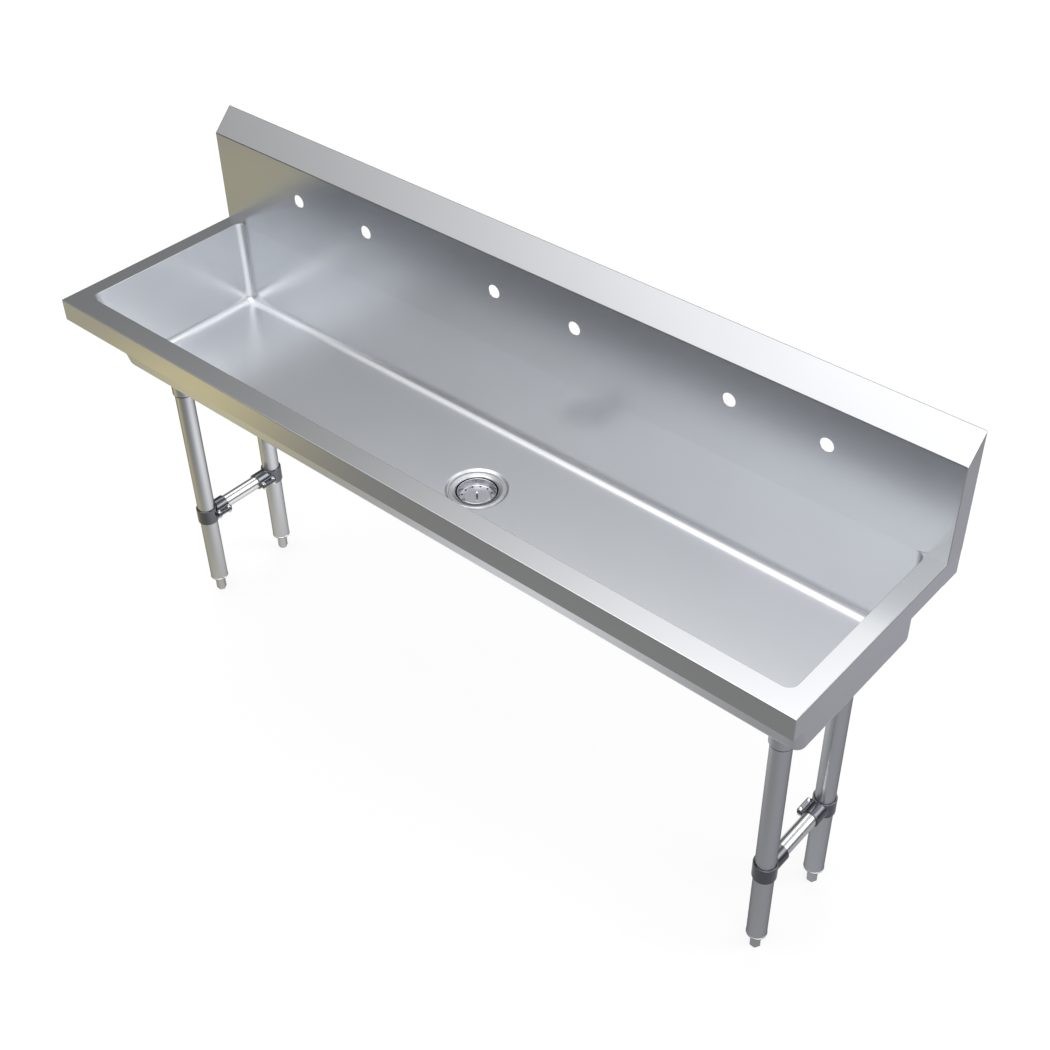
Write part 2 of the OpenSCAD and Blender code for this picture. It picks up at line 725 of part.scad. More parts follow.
// Basket: rolled rim, drawn wall, perforated floor with a raised middle, and a hub for the post
module basket_cup() {
    color([0.88, 0.89, 0.90]) at_drain() difference() {
        rotate_extrude() polygon([[0, basket_floor_z + raised_h], [raised_r, basket_floor_z + raised_h],
            [raised_r + raised_h, basket_floor_z], [basket_floor_r - 2 * basket_t, basket_floor_z],
            [basket_floor_r - basket_t, basket_floor_z + basket_t],
            [basket_r - 2 * basket_t, basket_rim_z - basket_t],
            [basket_r - basket_t, basket_rim_z], [basket_r, basket_rim_z],
            [basket_r, basket_rim_z - basket_t], [basket_r - basket_t, basket_rim_z - 2 * basket_t],
            [basket_floor_r, basket_floor_z + basket_t],
            [basket_floor_r, basket_under_z + basket_t / 2], [basket_floor_r - basket_t / 2, basket_under_z],
            [raised_r + raised_h, basket_under_z], [raised_r, basket_under_z + raised_h],
            [hub_r, basket_under_z + raised_h], [hub_r, hub_low_z], [0, hub_low_z]]);
        for (i = [0:basket_holes - 1]) rotate(i * 360 / basket_holes)
            translate([hole_ring_r, 0, basket_under_z - cut])
                cylinder(d = basket_hole_d, h = basket_t + 2 * cut, $fn = 24);
        translate([0, 0, hub_low_z - cut])
            cylinder(r = post_bore_r, h = hub_h + basket_t + raised_h + 2 * cut);
    }
}

// Sprung clip under the hub, which holds the post at either height
clip_t = 1;
module basket_clip() {
    color([0.75, 0.75, 0.76]) ring(hub_low_z - clip_t, clip_t, hub_r + clip_t, post_bore_r);
}

// Levels of the stopper at rest, with the drain open; closed, its rubber covers the outlet's edge
seal_t = 4;
seal_edge = 1;
seal_over = 2.5;
seal_low_z = seat_z + move_gap + post_travel;
seal_r = outlet_r + seal_over;
stopper_plate_t = 1;
knob_t = 1.5;
knob_z = basket_floor_z + raised_h + post_h;

module stopper_post() {
    color([0.88, 0.88, 0.90]) at_drain() {
        translate([0, 0, seal_low_z]) cylinder(d = post_d, h = knob_z - seal_low_z);
        translate([0, 0, knob_z - 2 * knob_t]) cylinder(r1 = post_d / 2, r2 = post_d, h = knob_t);
        translate([0, 0, knob_z - knob_t]) cylinder(r = post_d, h = knob_t);
        translate([0, 0, seal_low_z - knob_t]) cylinder(r = post_d, h = knob_t);
    }
}

module stopper_plate() {
    color([0.80, 0.80, 0.82])
        ring(seal_low_z + seal_t, stopper_plate_t, outlet_r, post_d / 2 + fit_gap);
}

module stopper_seal() {
    bore_r = post_d / 2 + fit_gap;
    color([0.10, 0.10, 0.10]) at_drain() rotate_extrude() polygon([[bore_r, seal_low_z],
        [seal_r - seal_edge, seal_low_z], [seal_r, seal_low_z + seal_edge],
        [seal_r, seal_low_z + seal_t], [bore_r, seal_low_z + seal_t]]);
}

basin_wrap();
left_basin_end();
right_basin_end();
backsplash();
left_splash_cap();
right_splash_cap();
leg_plate(-1);  // left_leg_plate
leg_plate(1);  // right_leg_plate
socket(-1, -1);  // front_left_socket
socket(1, -1);  // front_right_socket
socket(-1, 1);  // rear_left_socket
socket(1, 1);  // rear_right_socket
socket_screws();
leg(-1, -1);  // front_left_leg
leg(1, -1);  // front_right_leg
leg(-1, 1);  // rear_left_leg
leg(1, 1);  // rear_right_leg
plug(-1, -1);  // front_left_plug
plug(1, -1);  // front_right_plug
plug(-1, 1);  // rear_left_plug
plug(1, 1);  // rear_right_plug
foot(-1, -1);  // front_left_foot
foot(1, -1);  // front_right_foot
foot(-1, 1);  // rear_left_foot
foot(1, 1);  // rear_right_foot
cross_rail(-1);  // left_cross_rail
cross_rail(1);  // right_cross_rail
tee_clamp(-1, -1);  // front_left_clamp
tee_clamp(1, -1);  // front_right_clamp
tee_clamp(-1, 1);  // rear_left_clamp
tee_clamp(1, 1);  // rear_right_clamp
clamp_screws();
clamp_nuts();
strainer_body();
strainer_gasket();
friction_ring();
locknut();
coupling_nut();
outlet_washer();
tailpiece();
basket_cup();
basket_clip();
stopper_post();
stopper_plate();
stopper_seal();
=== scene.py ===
import math

import bmesh
import bpy
from mathutils import Matrix, Vector


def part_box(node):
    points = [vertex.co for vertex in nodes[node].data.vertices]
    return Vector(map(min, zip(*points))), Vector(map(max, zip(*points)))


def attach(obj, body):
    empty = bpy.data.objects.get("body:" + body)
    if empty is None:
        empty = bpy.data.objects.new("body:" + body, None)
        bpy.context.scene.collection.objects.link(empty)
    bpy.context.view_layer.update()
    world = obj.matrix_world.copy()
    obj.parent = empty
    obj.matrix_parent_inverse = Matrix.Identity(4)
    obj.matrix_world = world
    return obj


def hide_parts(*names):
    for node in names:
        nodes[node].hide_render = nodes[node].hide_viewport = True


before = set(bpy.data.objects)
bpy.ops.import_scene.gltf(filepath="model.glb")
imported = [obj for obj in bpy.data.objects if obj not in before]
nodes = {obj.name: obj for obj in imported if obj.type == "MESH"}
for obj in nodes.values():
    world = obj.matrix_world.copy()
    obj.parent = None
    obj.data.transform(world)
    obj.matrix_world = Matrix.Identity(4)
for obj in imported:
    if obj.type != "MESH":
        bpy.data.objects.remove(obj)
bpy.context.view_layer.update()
MM = 0.001

# Camera: it stands in front of the sink's right end, above head height, and looks down to the left.
# Its place, turn and lens were found by fitting the basin's straight edges and the leg tubes.
EYE = Vector((1.6542, -1.6663, 2.5985))
AZIMUTH = math.radians(40.505)
ELEVATION = math.radians(40.112)
ROLL = math.radians(-0.345)
PHOTO_PX = 1050
FOCAL_PX = 1534.6
CENTRE_PX = (557.26, 512.33)
SENSOR = 36
FAR = 100

back = Vector((math.sin(AZIMUTH) * math.cos(ELEVATION), -math.cos(AZIMUTH) * math.cos(ELEVATION),
               math.sin(ELEVATION)))
level = Vector((math.cos(AZIMUTH), math.sin(AZIMUTH), 0))
above = back.cross(level)
right = level * math.cos(ROLL) + above * math.sin(ROLL)
up = above * math.cos(ROLL) - level * math.sin(ROLL)

camera = bpy.data.objects.new("camera", bpy.data.cameras.new("camera"))
bpy.context.scene.collection.objects.link(camera)
camera.matrix_world = Matrix.Translation(EYE) @ Matrix((right, up, back)).transposed().to_4x4()
camera.data.sensor_width = SENSOR
camera.data.lens = SENSOR * FOCAL_PX / PHOTO_PX
camera.data.shift_x = 0.5 - CENTRE_PX[0] / PHOTO_PX
camera.data.shift_y = CENTRE_PX[1] / PHOTO_PX - 0.5
camera.data.clip_end = FAR
bpy.context.scene.camera = camera
bpy.context.scene.view_settings.view_transform = "Standard"


# Basin: one sheet folded into apron, rail, bowl and back wall, its two coved ends, the backsplash and
# the splash's end caps. All are 1.5 mm stainless steel, welded along their seams, and the welds are
# ground and brushed until none shows, so they are one skin here. The grain runs along the sheet.
SHEET = 1.5 * MM
BEND = 1.6 * MM
COVE = 19 * MM
COVE_STEPS = 12
BEND_STEPS = 4
EASE = 0.7 * MM
EASE_STEPS = 3
FRONT_RAIL = 46 * MM
END_RAIL = 39 * MM
BOWL_DEPTH = 203.2 * MM
LEAN = 57 * MM
APRON = 49 * MM
HEM = 12 * MM
FLANGE = 25 * MM
CAP_FLANGE = 14 * MM
FAUCET_HOLE = 14.3 * MM
FAUCET_HEIGHT = 127 * MM
FAUCET_PITCH = 559 * MM
FAUCET_HALF = 101.6 * MM
DRAIN_Y = 24.5 * MM
RECESS = 63.5 * MM
RECESS_DEEP = 3.5 * MM
DRAIN_HOLE = 46.4 * MM
HAIR = 0.001 * MM
CLOSE = 0.05 * MM
LEAST_FOLD = math.radians(20)
SQUARE_FOLD = math.radians(60)

half_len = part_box("right_basin_end")[1].x
front_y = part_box("right_basin_end")[0].y
deck_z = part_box("basin_wrap")[1].z
splash_y, wall_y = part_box("backsplash")[0].y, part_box("backsplash")[1].y
top_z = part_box("backsplash")[1].z
slope_z = top_z - (wall_y - splash_y)
floor_z = deck_z - BOWL_DEPTH
bowl_half = half_len - END_RAIL
bowl_front = front_y + FRONT_RAIL


def rim_of(shape):
    """The open edges of a mesh."""
    return [e for e in shape.edges if e.is_boundary]


def drawn_out(shape, edges, place):
    """Extrudes edges and puts each new corner where place(old corner) says; returns the new edges."""
    made = bmesh.ops.extrude_edge_only(shape, edges=edges)["geom"]
    for corner in [g for g in made if isinstance(g, bmesh.types.BMVert)]:
        corner.co = place(corner.co.copy())
    return [g for g in made if isinstance(g, bmesh.types.BMEdge) and g.is_boundary and
            not set(g.verts) & {v for e in edges for v in e.verts}]


def near(a, b):
    """Whether two lengths are the same but for rounding."""
    return abs(a - b) < CLOSE


def cove_centre(p):
    """Centre in plan of the coved corner of the bowl that is nearest to a point."""
    y = bowl_front + COVE if p.y < bowl_front + 2 * COVE else splash_y - COVE
    return Vector((math.copysign(bowl_half - COVE, p.x), y, 0))


def away(p):
    """Direction in plan from the cove's centre to a point."""
    out = p - cove_centre(p)
    out.z = 0
    return out.normalized()


def squared(p):
    """The outline of the deck, reached from a point of the bowl's rim; the rear is cut off later."""
    centre, out = cove_centre(p), away(p)
    out /= max(abs(out.x), abs(out.y))
    reach_y = centre.y - front_y if out.y < 0 else 2 * COVE
    return Vector((centre.x + out.x * (half_len - abs(centre.x)), centre.y + out.y * reach_y, deck_z))


def face_at(shape, centre, normal):
    """The flat face that holds a point and looks along a direction."""
    return next(f for f in shape.faces if f.normal.dot(normal) > 0.999 and
                abs((f.verts[0].co - centre).dot(normal)) < HAIR and
                bmesh.geometry.intersect_face_point(f, centre))


def pierce(shape, centre, normal, half, cuts, rings):
    """Cuts a square out of a flat face and fills it with rings, which step from it to a round hole."""
    across = Vector((1, 0, 0))
    upward = normal.cross(across)
    for way in (across, -across, upward, -upward):
        face = face_at(shape, centre, normal)
        bmesh.ops.bisect_plane(shape, geom=[face, *face.edges, *face.verts], dist=HAIR,
                               plane_co=centre + way * half, plane_no=way)
    face = face_at(shape, centre, normal)
    square = list(face.edges)
    bmesh.ops.delete(shape, geom=[face], context="FACES_ONLY")
    bmesh.ops.subdivide_edges(shape, edges=square, cuts=cuts)
    edges = [e for e in rim_of(shape) if all(
        max(abs((v.co - centre).dot(across)), abs((v.co - centre).dot(upward))) < half + 10 * HAIR and
        abs((v.co - centre).dot(normal)) < 10 * HAIR for v in e.verts)]
    for number, (radius, depth) in enumerate(rings):
        def on_ring(p):
            x, y = (p - centre).dot(across), (p - centre).dot(upward)
            if number:
                angle = math.atan2(y, x)
            elif abs(x) >= abs(y):
                angle = math.pi / 4 * y / x + (math.pi if x < 0 else 0)
            else:
                angle = math.copysign(math.pi / 2, y) - math.pi / 4 * x / y
            return centre + radius * (across * math.cos(angle) + upward * math.sin(angle)) - normal * depth
        edges = drawn_out(shape, edges, on_ring)


def as_object(name, shape):
    """A new object that holds a mesh under construction, which is used up."""
    mesh = bpy.data.meshes.new(name)
    shape.to_mesh(mesh)
    shape.free()
    made = bpy.data.objects.new(name, mesh)
    bpy.context.scene.collection.objects.link(made)
    return made


def worked(shape, kind, **settings):
    """The mesh under construction after one modifier."""
    blank = as_object("blank", shape)
    modifier = blank.modifiers.new("work", kind)
    for setting, value in settings.items():
        setattr(modifier, setting, value)
    result = bmesh.new()
    result.from_object(blank, bpy.context.evaluated_depsgraph_get())
    bpy.data.meshes.remove(blank.data)
    return result


def piece(name, shape, material, body, slot_name, *stands_for, sharp=30):
    """A finished piece: creases kept, flat faces flat, on its CAD body in place of its CAD nodes."""
    made = as_object(name, shape)
    made.data.shade_smooth()
    made.data.set_sharp_from_angle(angle=math.radians(sharp))
    made.modifiers.new("flats", "WEIGHTED_NORMAL").keep_sharp = True
    made.data.materials.append(material)
    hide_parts(*stands_for)
    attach(made, body)
    return made


GRAIN_DETAIL = 3
GRAIN_DEPTH = 0.01 * MM
CLOUD_SCALE = 6
CLOUD_DETAIL = 2


def finish(name, colour, roughness, metallic=1, grain=(1, 1, 1), grain_size=0.5 * MM, bump=0,
           spread=0.05, cloud=0.03, edge_shade=(1, 1, 1, 1)):
    """A surface with a fine brushed or cast grain and a slow change of tone; grain stretches it by axis."""
    made = bpy.data.materials.new(name)
    made.use_nodes = True
    tree = made.node_tree
    shader = tree.nodes["Principled BSDF"]
    shader.inputs["Metallic"].default_value = metallic
    shader.inputs["Specular Tint"].default_value = edge_shade
    place = tree.nodes.new("ShaderNodeTexCoord")
    stretch = tree.nodes.new("ShaderNodeMapping")
    stretch.inputs["Scale"].default_value = [1 / (grain_size * g) for g in grain]
    fine = tree.nodes.new("ShaderNodeTexNoise")
    fine.inputs["Scale"].default_value = 1
    fine.inputs["Detail"].default_value = GRAIN_DETAIL
    slow = tree.nodes.new("ShaderNodeTexNoise")
    slow.inputs["Scale"].default_value = CLOUD_SCALE
    slow.inputs["Detail"].default_value = CLOUD_DETAIL
    rough = tree.nodes.new("ShaderNodeMapRange")
    rough.inputs["To Min"].default_value = roughness - spread
    rough.inputs["To Max"].default_value = roughness + spread
    tone = tree.nodes.new("ShaderNodeMix")
    tone.data_type = "RGBA"
    tone.inputs["A"].default_value = [c * (1 - cloud) for c in colour] + [1]
    tone.inputs["B"].default_value = [min(c * (1 + cloud), 1) for c in colour] + [1]
    link = tree.links.new
    link(place.outputs["Object"], stretch.inputs["Vector"])
    link(stretch.outputs["Vector"], fine.inputs["Vector"])
    link(place.outputs["Object"], slow.inputs["Vector"])
    link(fine.outputs["Fac"], rough.inputs["Value"])
    link(slow.outputs["Fac"], tone.inputs["Factor"])
    link(rough.outputs["Result"], shader.inputs["Roughness"])
    link(tone.outputs["Result"], shader.inputs["Base Color"])
    if bump:
        raised = tree.nodes.new("ShaderNodeBump")
        raised.inputs["Strength"].default_value = bump
        raised.inputs["Distance"].default_value = GRAIN_DEPTH
        link(fine.outputs["Fac"], raised.inputs["Height"])
        link(raised.outputs["Normal"], shader.inputs["Normal"])
    return made


skin = bmesh.new()
bmesh.ops.create_cube(skin, size=1)
bmesh.ops.scale(skin, vec=(2 * bowl_half, splash_y - bowl_front, BOWL_DEPTH), verts=skin.verts)
bmesh.ops.translate(skin, vec=(0, (splash_y + bowl_front) / 2, deck_z - BOWL_DEPTH / 2), verts=skin.verts)
folds = [e for e in skin.edges if not all(near(v.co.z, deck_z) for v in e.verts)]
bmesh.ops.bevel(skin, geom=folds, offset=COVE, offset_type="OFFSET", segments=COVE_STEPS, profile=0.5,
                affect="EDGES", clamp_overlap=False, material=-1)
bmesh.ops.delete(skin, geom=[f for f in skin.faces if all(near(v.co.z, deck_z) for v in f.verts)],
                 context="FACES_ONLY")
rim = rim_of(skin)
for corner in skin.verts:
    if corner.co.y < bowl_front + 2 * COVE:
        corner.co.y += LEAN * (deck_z - corner.co.z) / BOWL_DEPTH
rim = drawn_out(skin, rim, squared)

# The rail ends at the splash, whose sheet rises from the cut, slopes back and turns down at the wall
bmesh.ops.bisect_plane(skin, geom=skin.verts[:] + skin.edges[:] + skin.faces[:], dist=HAIR / 10,
                       plane_co=(0, splash_y + HAIR, 0), plane_no=(0, 1, 0), clear_outer=True)
cut = [e for e in rim_of(skin) if all(v.co.y > splash_y + HAIR / 2 for v in e.verts)]
for corner in {v for e in cut for v in e.verts}:
    corner.co.y = splash_y
cut = drawn_out(skin, cut, lambda p: Vector((p.x, splash_y, slope_z)))
cut = drawn_out(skin, cut, lambda p: Vector((p.x, wall_y, top_z)))
drawn_out(skin, cut, lambda p: Vector((p.x, wall_y, top_z - FLANGE)))

# Aprons turn down from the rail and end in a hem
outline = [e for e in rim_of(skin) if all(near(v.co.z, deck_z) for v in e.verts)]
outline = drawn_out(skin, outline, lambda p: Vector((p.x, p.y, deck_z - APRON)))
drawn_out(skin, outline, lambda p: Vector((
    p.x - math.copysign(HEM if near(abs(p.x), half_len) else 0, p.x),
    p.y + (HEM if near(p.y, front_y) else 0), p.z)))

# Caps close the ends of the splash and turn in at the wall
for side in (-1, 1):
    end = [e for e in rim_of(skin) if all(near(v.co.x, side * half_len) and near(v.co.y, splash_y) and
                                          v.co.z < deck_z + HAIR for v in e.verts)]
    drawn_out(skin, end, lambda p: Vector((p.x, wall_y, p.z)))
    corners = [v for v in skin.verts if near(v.co.x, side * half_len) and v.co.y > splash_y - HAIR and
               v.co.z > deck_z - HAIR]
    bmesh.ops.contextual_create(skin, geom=corners)
    turn = [e for e in rim_of(skin) if all(near(v.co.x, side * half_len) and near(v.co.y, wall_y) and
                                           v.co.z < deck_z + HAIR for v in e.verts)]
    drawn_out(skin, turn, lambda p: Vector((p.x - side * CAP_FLANGE, p.y, p.z)))

bmesh.ops.remove_doubles(skin, verts=skin.verts, dist=HAIR)
bmesh.ops.recalc_face_normals(skin, faces=skin.faces)
rail = next(f for f in skin.faces if near(f.calc_center_median().z, deck_z))
if rail.normal.z < 0:
    bmesh.ops.reverse_faces(skin, faces=skin.faces)


def outer_fold(edge):
    """The folds that stand out: round the rail, down the corners, along the hems, and round the splash."""
    if edge.is_boundary or edge.calc_face_angle(0) < LEAST_FOLD or not edge.is_convex:
        return False
    middle = (edge.verts[0].co + edge.verts[1].co) / 2
    at_end = near(abs(middle.x), half_len)
    return at_end or near(middle.y, front_y) or near(middle.y, wall_y) or near(middle.z, slope_z)


bmesh.ops.bevel(skin, geom=[e for e in skin.edges if outer_fold(e)], offset=BEND, offset_type="OFFSET",
                segments=BEND_STEPS, profile=0.5, affect="EDGES", clamp_overlap=False, material=-1)
skin.normal_update()

# Six faucet holes are punched in the splash, in three pairs
FAUCET_CUTS = 11
for pair in (-1, 0, 1):
    for side in (-1, 1):
        pierce(skin, Vector((pair * FAUCET_PITCH + side * FAUCET_HALF, splash_y, deck_z + FAUCET_HEIGHT)),
               Vector((0, -1, 0)), 2 * FAUCET_HOLE, FAUCET_CUTS, [(FAUCET_HOLE, 0)])

# The round recess for the drain is pressed in, so both of its edges roll, and its middle is cut out
RECESS_CUTS = 23
PRESS_ROLL = 1.5 * MM
ROLL_ACROSS = 0.3 * PRESS_ROLL
ROLL_BEGUN = 0.06 * PRESS_ROLL
ROLL_ENDED = 0.35 * PRESS_ROLL
recess_foot = RECESS - RECESS_DEEP
pierce(skin, Vector((0, DRAIN_Y, floor_z)), Vector((0, 0, 1)), 1.3 * RECESS, RECESS_CUTS,
       [(RECESS + PRESS_ROLL, 0), (RECESS + ROLL_ACROSS, ROLL_BEGUN), (RECESS - ROLL_ACROSS, ROLL_ENDED),
        (recess_foot + ROLL_ACROSS, RECESS_DEEP - ROLL_ENDED),
        (recess_foot - ROLL_ACROSS, RECESS_DEEP - ROLL_BEGUN),
        (recess_foot - PRESS_ROLL, RECESS_DEEP), (DRAIN_HOLE, RECESS_DEEP)])

# The sheet gets its thickness, and the sharp fold between rail and bowl is eased
skin = worked(skin, "SOLIDIFY", thickness=SHEET, offset=-1, use_even_offset=True, use_quality_normals=True)


def inner_rim(edge):
    """The fold between the rail and the bowl."""
    middle = (edge.verts[0].co + edge.verts[1].co) / 2
    return (all(near(v.co.z, deck_z) for v in edge.verts) and edge.calc_face_angle(0) > SQUARE_FOLD and
            abs(middle.x) < bowl_half + HAIR and middle.y > bowl_front - HAIR)


bmesh.ops.bevel(skin, geom=[e for e in skin.edges if inner_rim(e)], offset=EASE, offset_type="OFFSET",
                segments=EASE_STEPS, profile=0.5, affect="EDGES", clamp_overlap=False, material=-1)
basin_steel = finish("satin_stainless", (0.617, 0.63, 0.648), 0.26, grain=(60, 1, 1), grain_size=0.6 * MM,
                     spread=0.02)

# Inside the bowl the sheet's colour is lifted a little as painted light, and its bottom is brushed coarser
# than its walls
BOWL_PAINTED_LIGHT = (1.035, 1.035, 1.04)
BOTTOM_COARSER = 0.035
tree = basin_steel.node_tree
link = tree.links.new
shader = tree.nodes["Principled BSDF"]
place = tree.nodes.new("ShaderNodeTexCoord")
height = tree.nodes.new("ShaderNodeSeparateXYZ")
link(place.outputs["Object"], height.inputs["Vector"])


def worked_out(tree, kind, operation, *values):
    """The result of a sum on the values of a shader, each a number, a row of three, or a node's output."""
    made = tree.nodes.new(kind)
    made.operation = operation
    for socket, value in zip(made.inputs, values):
        if isinstance(value, bpy.types.NodeSocket):
            tree.links.new(value, socket)
        else:
            socket.default_value = value
    one_number = kind == "ShaderNodeMath" or operation in ("DISTANCE", "DOT_PRODUCT")
    return made.outputs["Value" if one_number else "Vector"]


def below(high, low):
    """A factor that rises from 0 at one height to 1 at a lower one."""
    share = tree.nodes.new("ShaderNodeMapRange")
    share.inputs["From Min"].default_value = high
    share.inputs["From Max"].default_value = low
    link(height.outputs["Z"], share.inputs["Value"])
    return share.outputs["Result"]


painted_bowl_light = tree.nodes.new("ShaderNodeMix")
painted_bowl_light.data_type = "RGBA"
painted_bowl_light.blend_type = "MULTIPLY"
painted_bowl_light.inputs["B"].default_value = (*BOWL_PAINTED_LIGHT, 1)
link(below(deck_z - BEND, deck_z - 3 * BEND), painted_bowl_light.inputs["Factor"])
link(shader.inputs["Base Color"].links[0].from_socket, painted_bowl_light.inputs["A"])
link(painted_bowl_light.outputs["Result"], shader.inputs["Base Color"])
rough = shader.inputs["Roughness"].links[0].from_socket
link(worked_out(tree, "ShaderNodeMath", "MULTIPLY_ADD", below(floor_z + COVE, floor_z + COVE / 4),
                BOTTOM_COARSER, rough), shader.inputs["Roughness"])
basin = piece("basin_skin", skin, basin_steel, "sink", "basin_steel", "basin_wrap", "left_basin_end",
              "right_basin_end", "backsplash", "left_splash_cap", "right_splash_cap")


def second_material(made, material, where):
    """Gives a second material, such as a painted shade, to the faces of a piece whose middle passes a test.
    """
    made.data.materials.append(material)
    for face in made.data.polygons:
        if where(face.center):
            face.material_index = 1


# A dark band of painted shade runs along the outside of the splash's top fold
FOLD_SHADE_BAND = 1.3 * MM
painted_fold_shade = finish("fold_painted_shade", (0.13, 0.13, 0.135), 0.45, cloud=0.1)
second_material(basin, painted_fold_shade, lambda middle: middle.z > top_z - FOLD_SHADE_BAND)


# Leg plates: flat stainless plates with a dull mill finish, one at each end, welded across under the
# bowl's bottom. Two sockets are welded to the underside of each.
def dress(material, *names):
    """Gives its finish to each CAD node whose shape stays."""
    for name in names:
        for slot in nodes[name].material_slots:
            slot.material = material


dress(finish("mill_stainless", (0.52, 0.53, 0.54), 0.42, grain=(20, 1, 1), cloud=0.06),
      "left_leg_plate", "right_leg_plate")

# Sockets and legs: turned sockets welded to the plates, stepped in at their lower end, where the step is
# painted black as a painted shadow line, and drawn stainless tubes pushed up into them. Both are belt
# polished round the tube; a dark headless screw in a boss at the back of each socket holds the tube.
CORNERS = ("front_left", "front_right", "rear_left", "rear_right")
FIT = 0.15 * MM
JOINT = 3 * MM
JOINT_IN = 1.2 * MM
BOSS_R = 7.5 * MM
BOSS_BORE_R = 3.83 * MM
TUBE_STEPS = 64
BOSS_STEPS = 32


def arc(centre_r, centre_z, radius, first, last, steps=6):
    """Points of a rounded edge in a turned profile; angles in degrees from the outward direction."""
    turns = [math.radians(first + (last - first) * i / steps) for i in range(steps + 1)]
    return [(centre_r + radius * math.cos(t), centre_z + radius * math.sin(t)) for t in turns]


def turned(profile, centre, steps, closed=True):
    """A body of revolution about a vertical line; the profile has radii and heights above the centre."""
    shape = bmesh.new()
    points = [shape.verts.new(centre + Vector((r, 0, z))) for r, z in profile]
    for a, b in zip(points, points[1:] + points[:1] if closed else points[1:]):
        shape.edges.new((a, b))
    bmesh.ops.spin(shape, geom=shape.verts[:] + shape.edges[:], cent=centre, axis=(0, 0, 1),
                   angle=2 * math.pi, steps=steps, use_merge=True, use_duplicate=False)
    bmesh.ops.remove_doubles(shape, verts=shape.verts, dist=HAIR)
    bmesh.ops.recalc_face_normals(shape, faces=shape.faces)
    return shape


def laid_down(shape, place):
    """Turns an upright body of revolution to run towards the rear from a place."""
    bmesh.ops.rotate(shape, cent=(0, 0, 0), matrix=Matrix.Rotation(-math.pi / 2, 3, "X"), verts=shape.verts)
    bmesh.ops.translate(shape, vec=place, verts=shape.verts)


def box_middle(name):
    """The point on the floor below a node's middle, with the node's half width and its two heights."""
    low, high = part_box(name)
    return Vector(((low.x + high.x) / 2, (low.y + high.y) / 2, 0)), (high.x - low.x) / 2, low.z, high.z


# The tubes look darker towards their edges, which mirror the room at a low angle
EDGE_SHADE = (0.42, 0.42, 0.43, 1)
leg_steel = finish("polished_tube", (0.635, 0.65, 0.672), 0.3, grain=(8, 8, 1), grain_size=0.4 * MM,
                   spread=0.04, edge_shade=EDGE_SHADE)
dress(leg_steel, *(f"{corner}_leg" for corner in CORNERS))
# Black oxide for the socket screws; the same near black is also painted shade on the sockets' lower step
# and the plugs' undersides.
black_oxide_and_painted_shade = finish("black_oxide_and_painted_shade", (0.06, 0.06, 0.065), 0.5, cloud=0.1)
dress(black_oxide_and_painted_shade, "socket_screws")
for corner in CORNERS:
    line, leg_r = box_middle(f"{corner}_leg")[:2]
    socket_r, low_z, high_z = box_middle(f"{corner}_socket")[1:]
    boss_z = low_z + (high_z - low_z) / 3
    boss_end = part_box(f"{corner}_socket")[1].y
    socket = turned([(leg_r + FIT, high_z), (leg_r + FIT, low_z), (socket_r - JOINT_IN, low_z),
                     (socket_r - JOINT_IN, low_z + JOINT), (socket_r, low_z + JOINT),
                     (socket_r, high_z)], line, TUBE_STEPS)
    boss = turned([(BOSS_BORE_R, leg_r + FIT), (BOSS_R, leg_r + FIT), (BOSS_R, boss_end - line.y),
                   (BOSS_BORE_R, boss_end - line.y)], Vector(), BOSS_STEPS)
    laid_down(boss, line + Vector((0, 0, boss_z)))
    boss_mesh = bpy.data.meshes.new("boss")
    boss.to_mesh(boss_mesh)
    boss.free()
    socket.from_mesh(boss_mesh)
    bpy.data.meshes.remove(boss_mesh)
    made = piece(f"{corner}_turned_socket", socket, leg_steel, "sink", "leg_steel", f"{corner}_socket")
    # The socket's lower step is painted black: a painted shadow line.
    second_material(made, black_oxide_and_painted_shade, lambda middle: middle.z < low_z + JOINT + HAIR)

# Leg plugs: turned from stainless bar and pressed into the tubes. Only the rounded rim shows below the
# tube; it is bright, and its underside is painted black as painted shade.
PLUG_RIM = 4.2 * MM
PLUG_PAINTED_SHADE = 0.42 * PLUG_RIM
PLUG_PROUD = 0.8 * MM
PLUG_BORE_R = 8.03 * MM
SHANK_IN = 1.3 * MM
bright_steel = finish("bright_steel", (0.90, 0.90, 0.91), 0.16, cloud=0.02)
for corner in CORNERS:
    line, leg_r = box_middle(f"{corner}_leg")[:2]
    low_z, high_z = box_middle(f"{corner}_plug")[2:]
    half = PLUG_RIM / 2
    rim_r = leg_r + PLUG_PROUD - half
    shank_r = leg_r - SHANK_IN - half
    plug = turned([(PLUG_BORE_R, low_z)] + arc(rim_r, low_z + half, half, -90, 90, 8) +
                  [(shank_r, low_z + PLUG_RIM), (shank_r, high_z), (PLUG_BORE_R, high_z)], line, TUBE_STEPS)
    ring = piece(f"{corner}_turned_plug", plug, bright_steel, "sink", "bright_steel", f"{corner}_plug")
    # The rim's underside is painted black as painted shade.
    second_material(ring, black_oxide_and_painted_shade, lambda middle: middle.z < low_z + PLUG_PAINTED_SHADE)

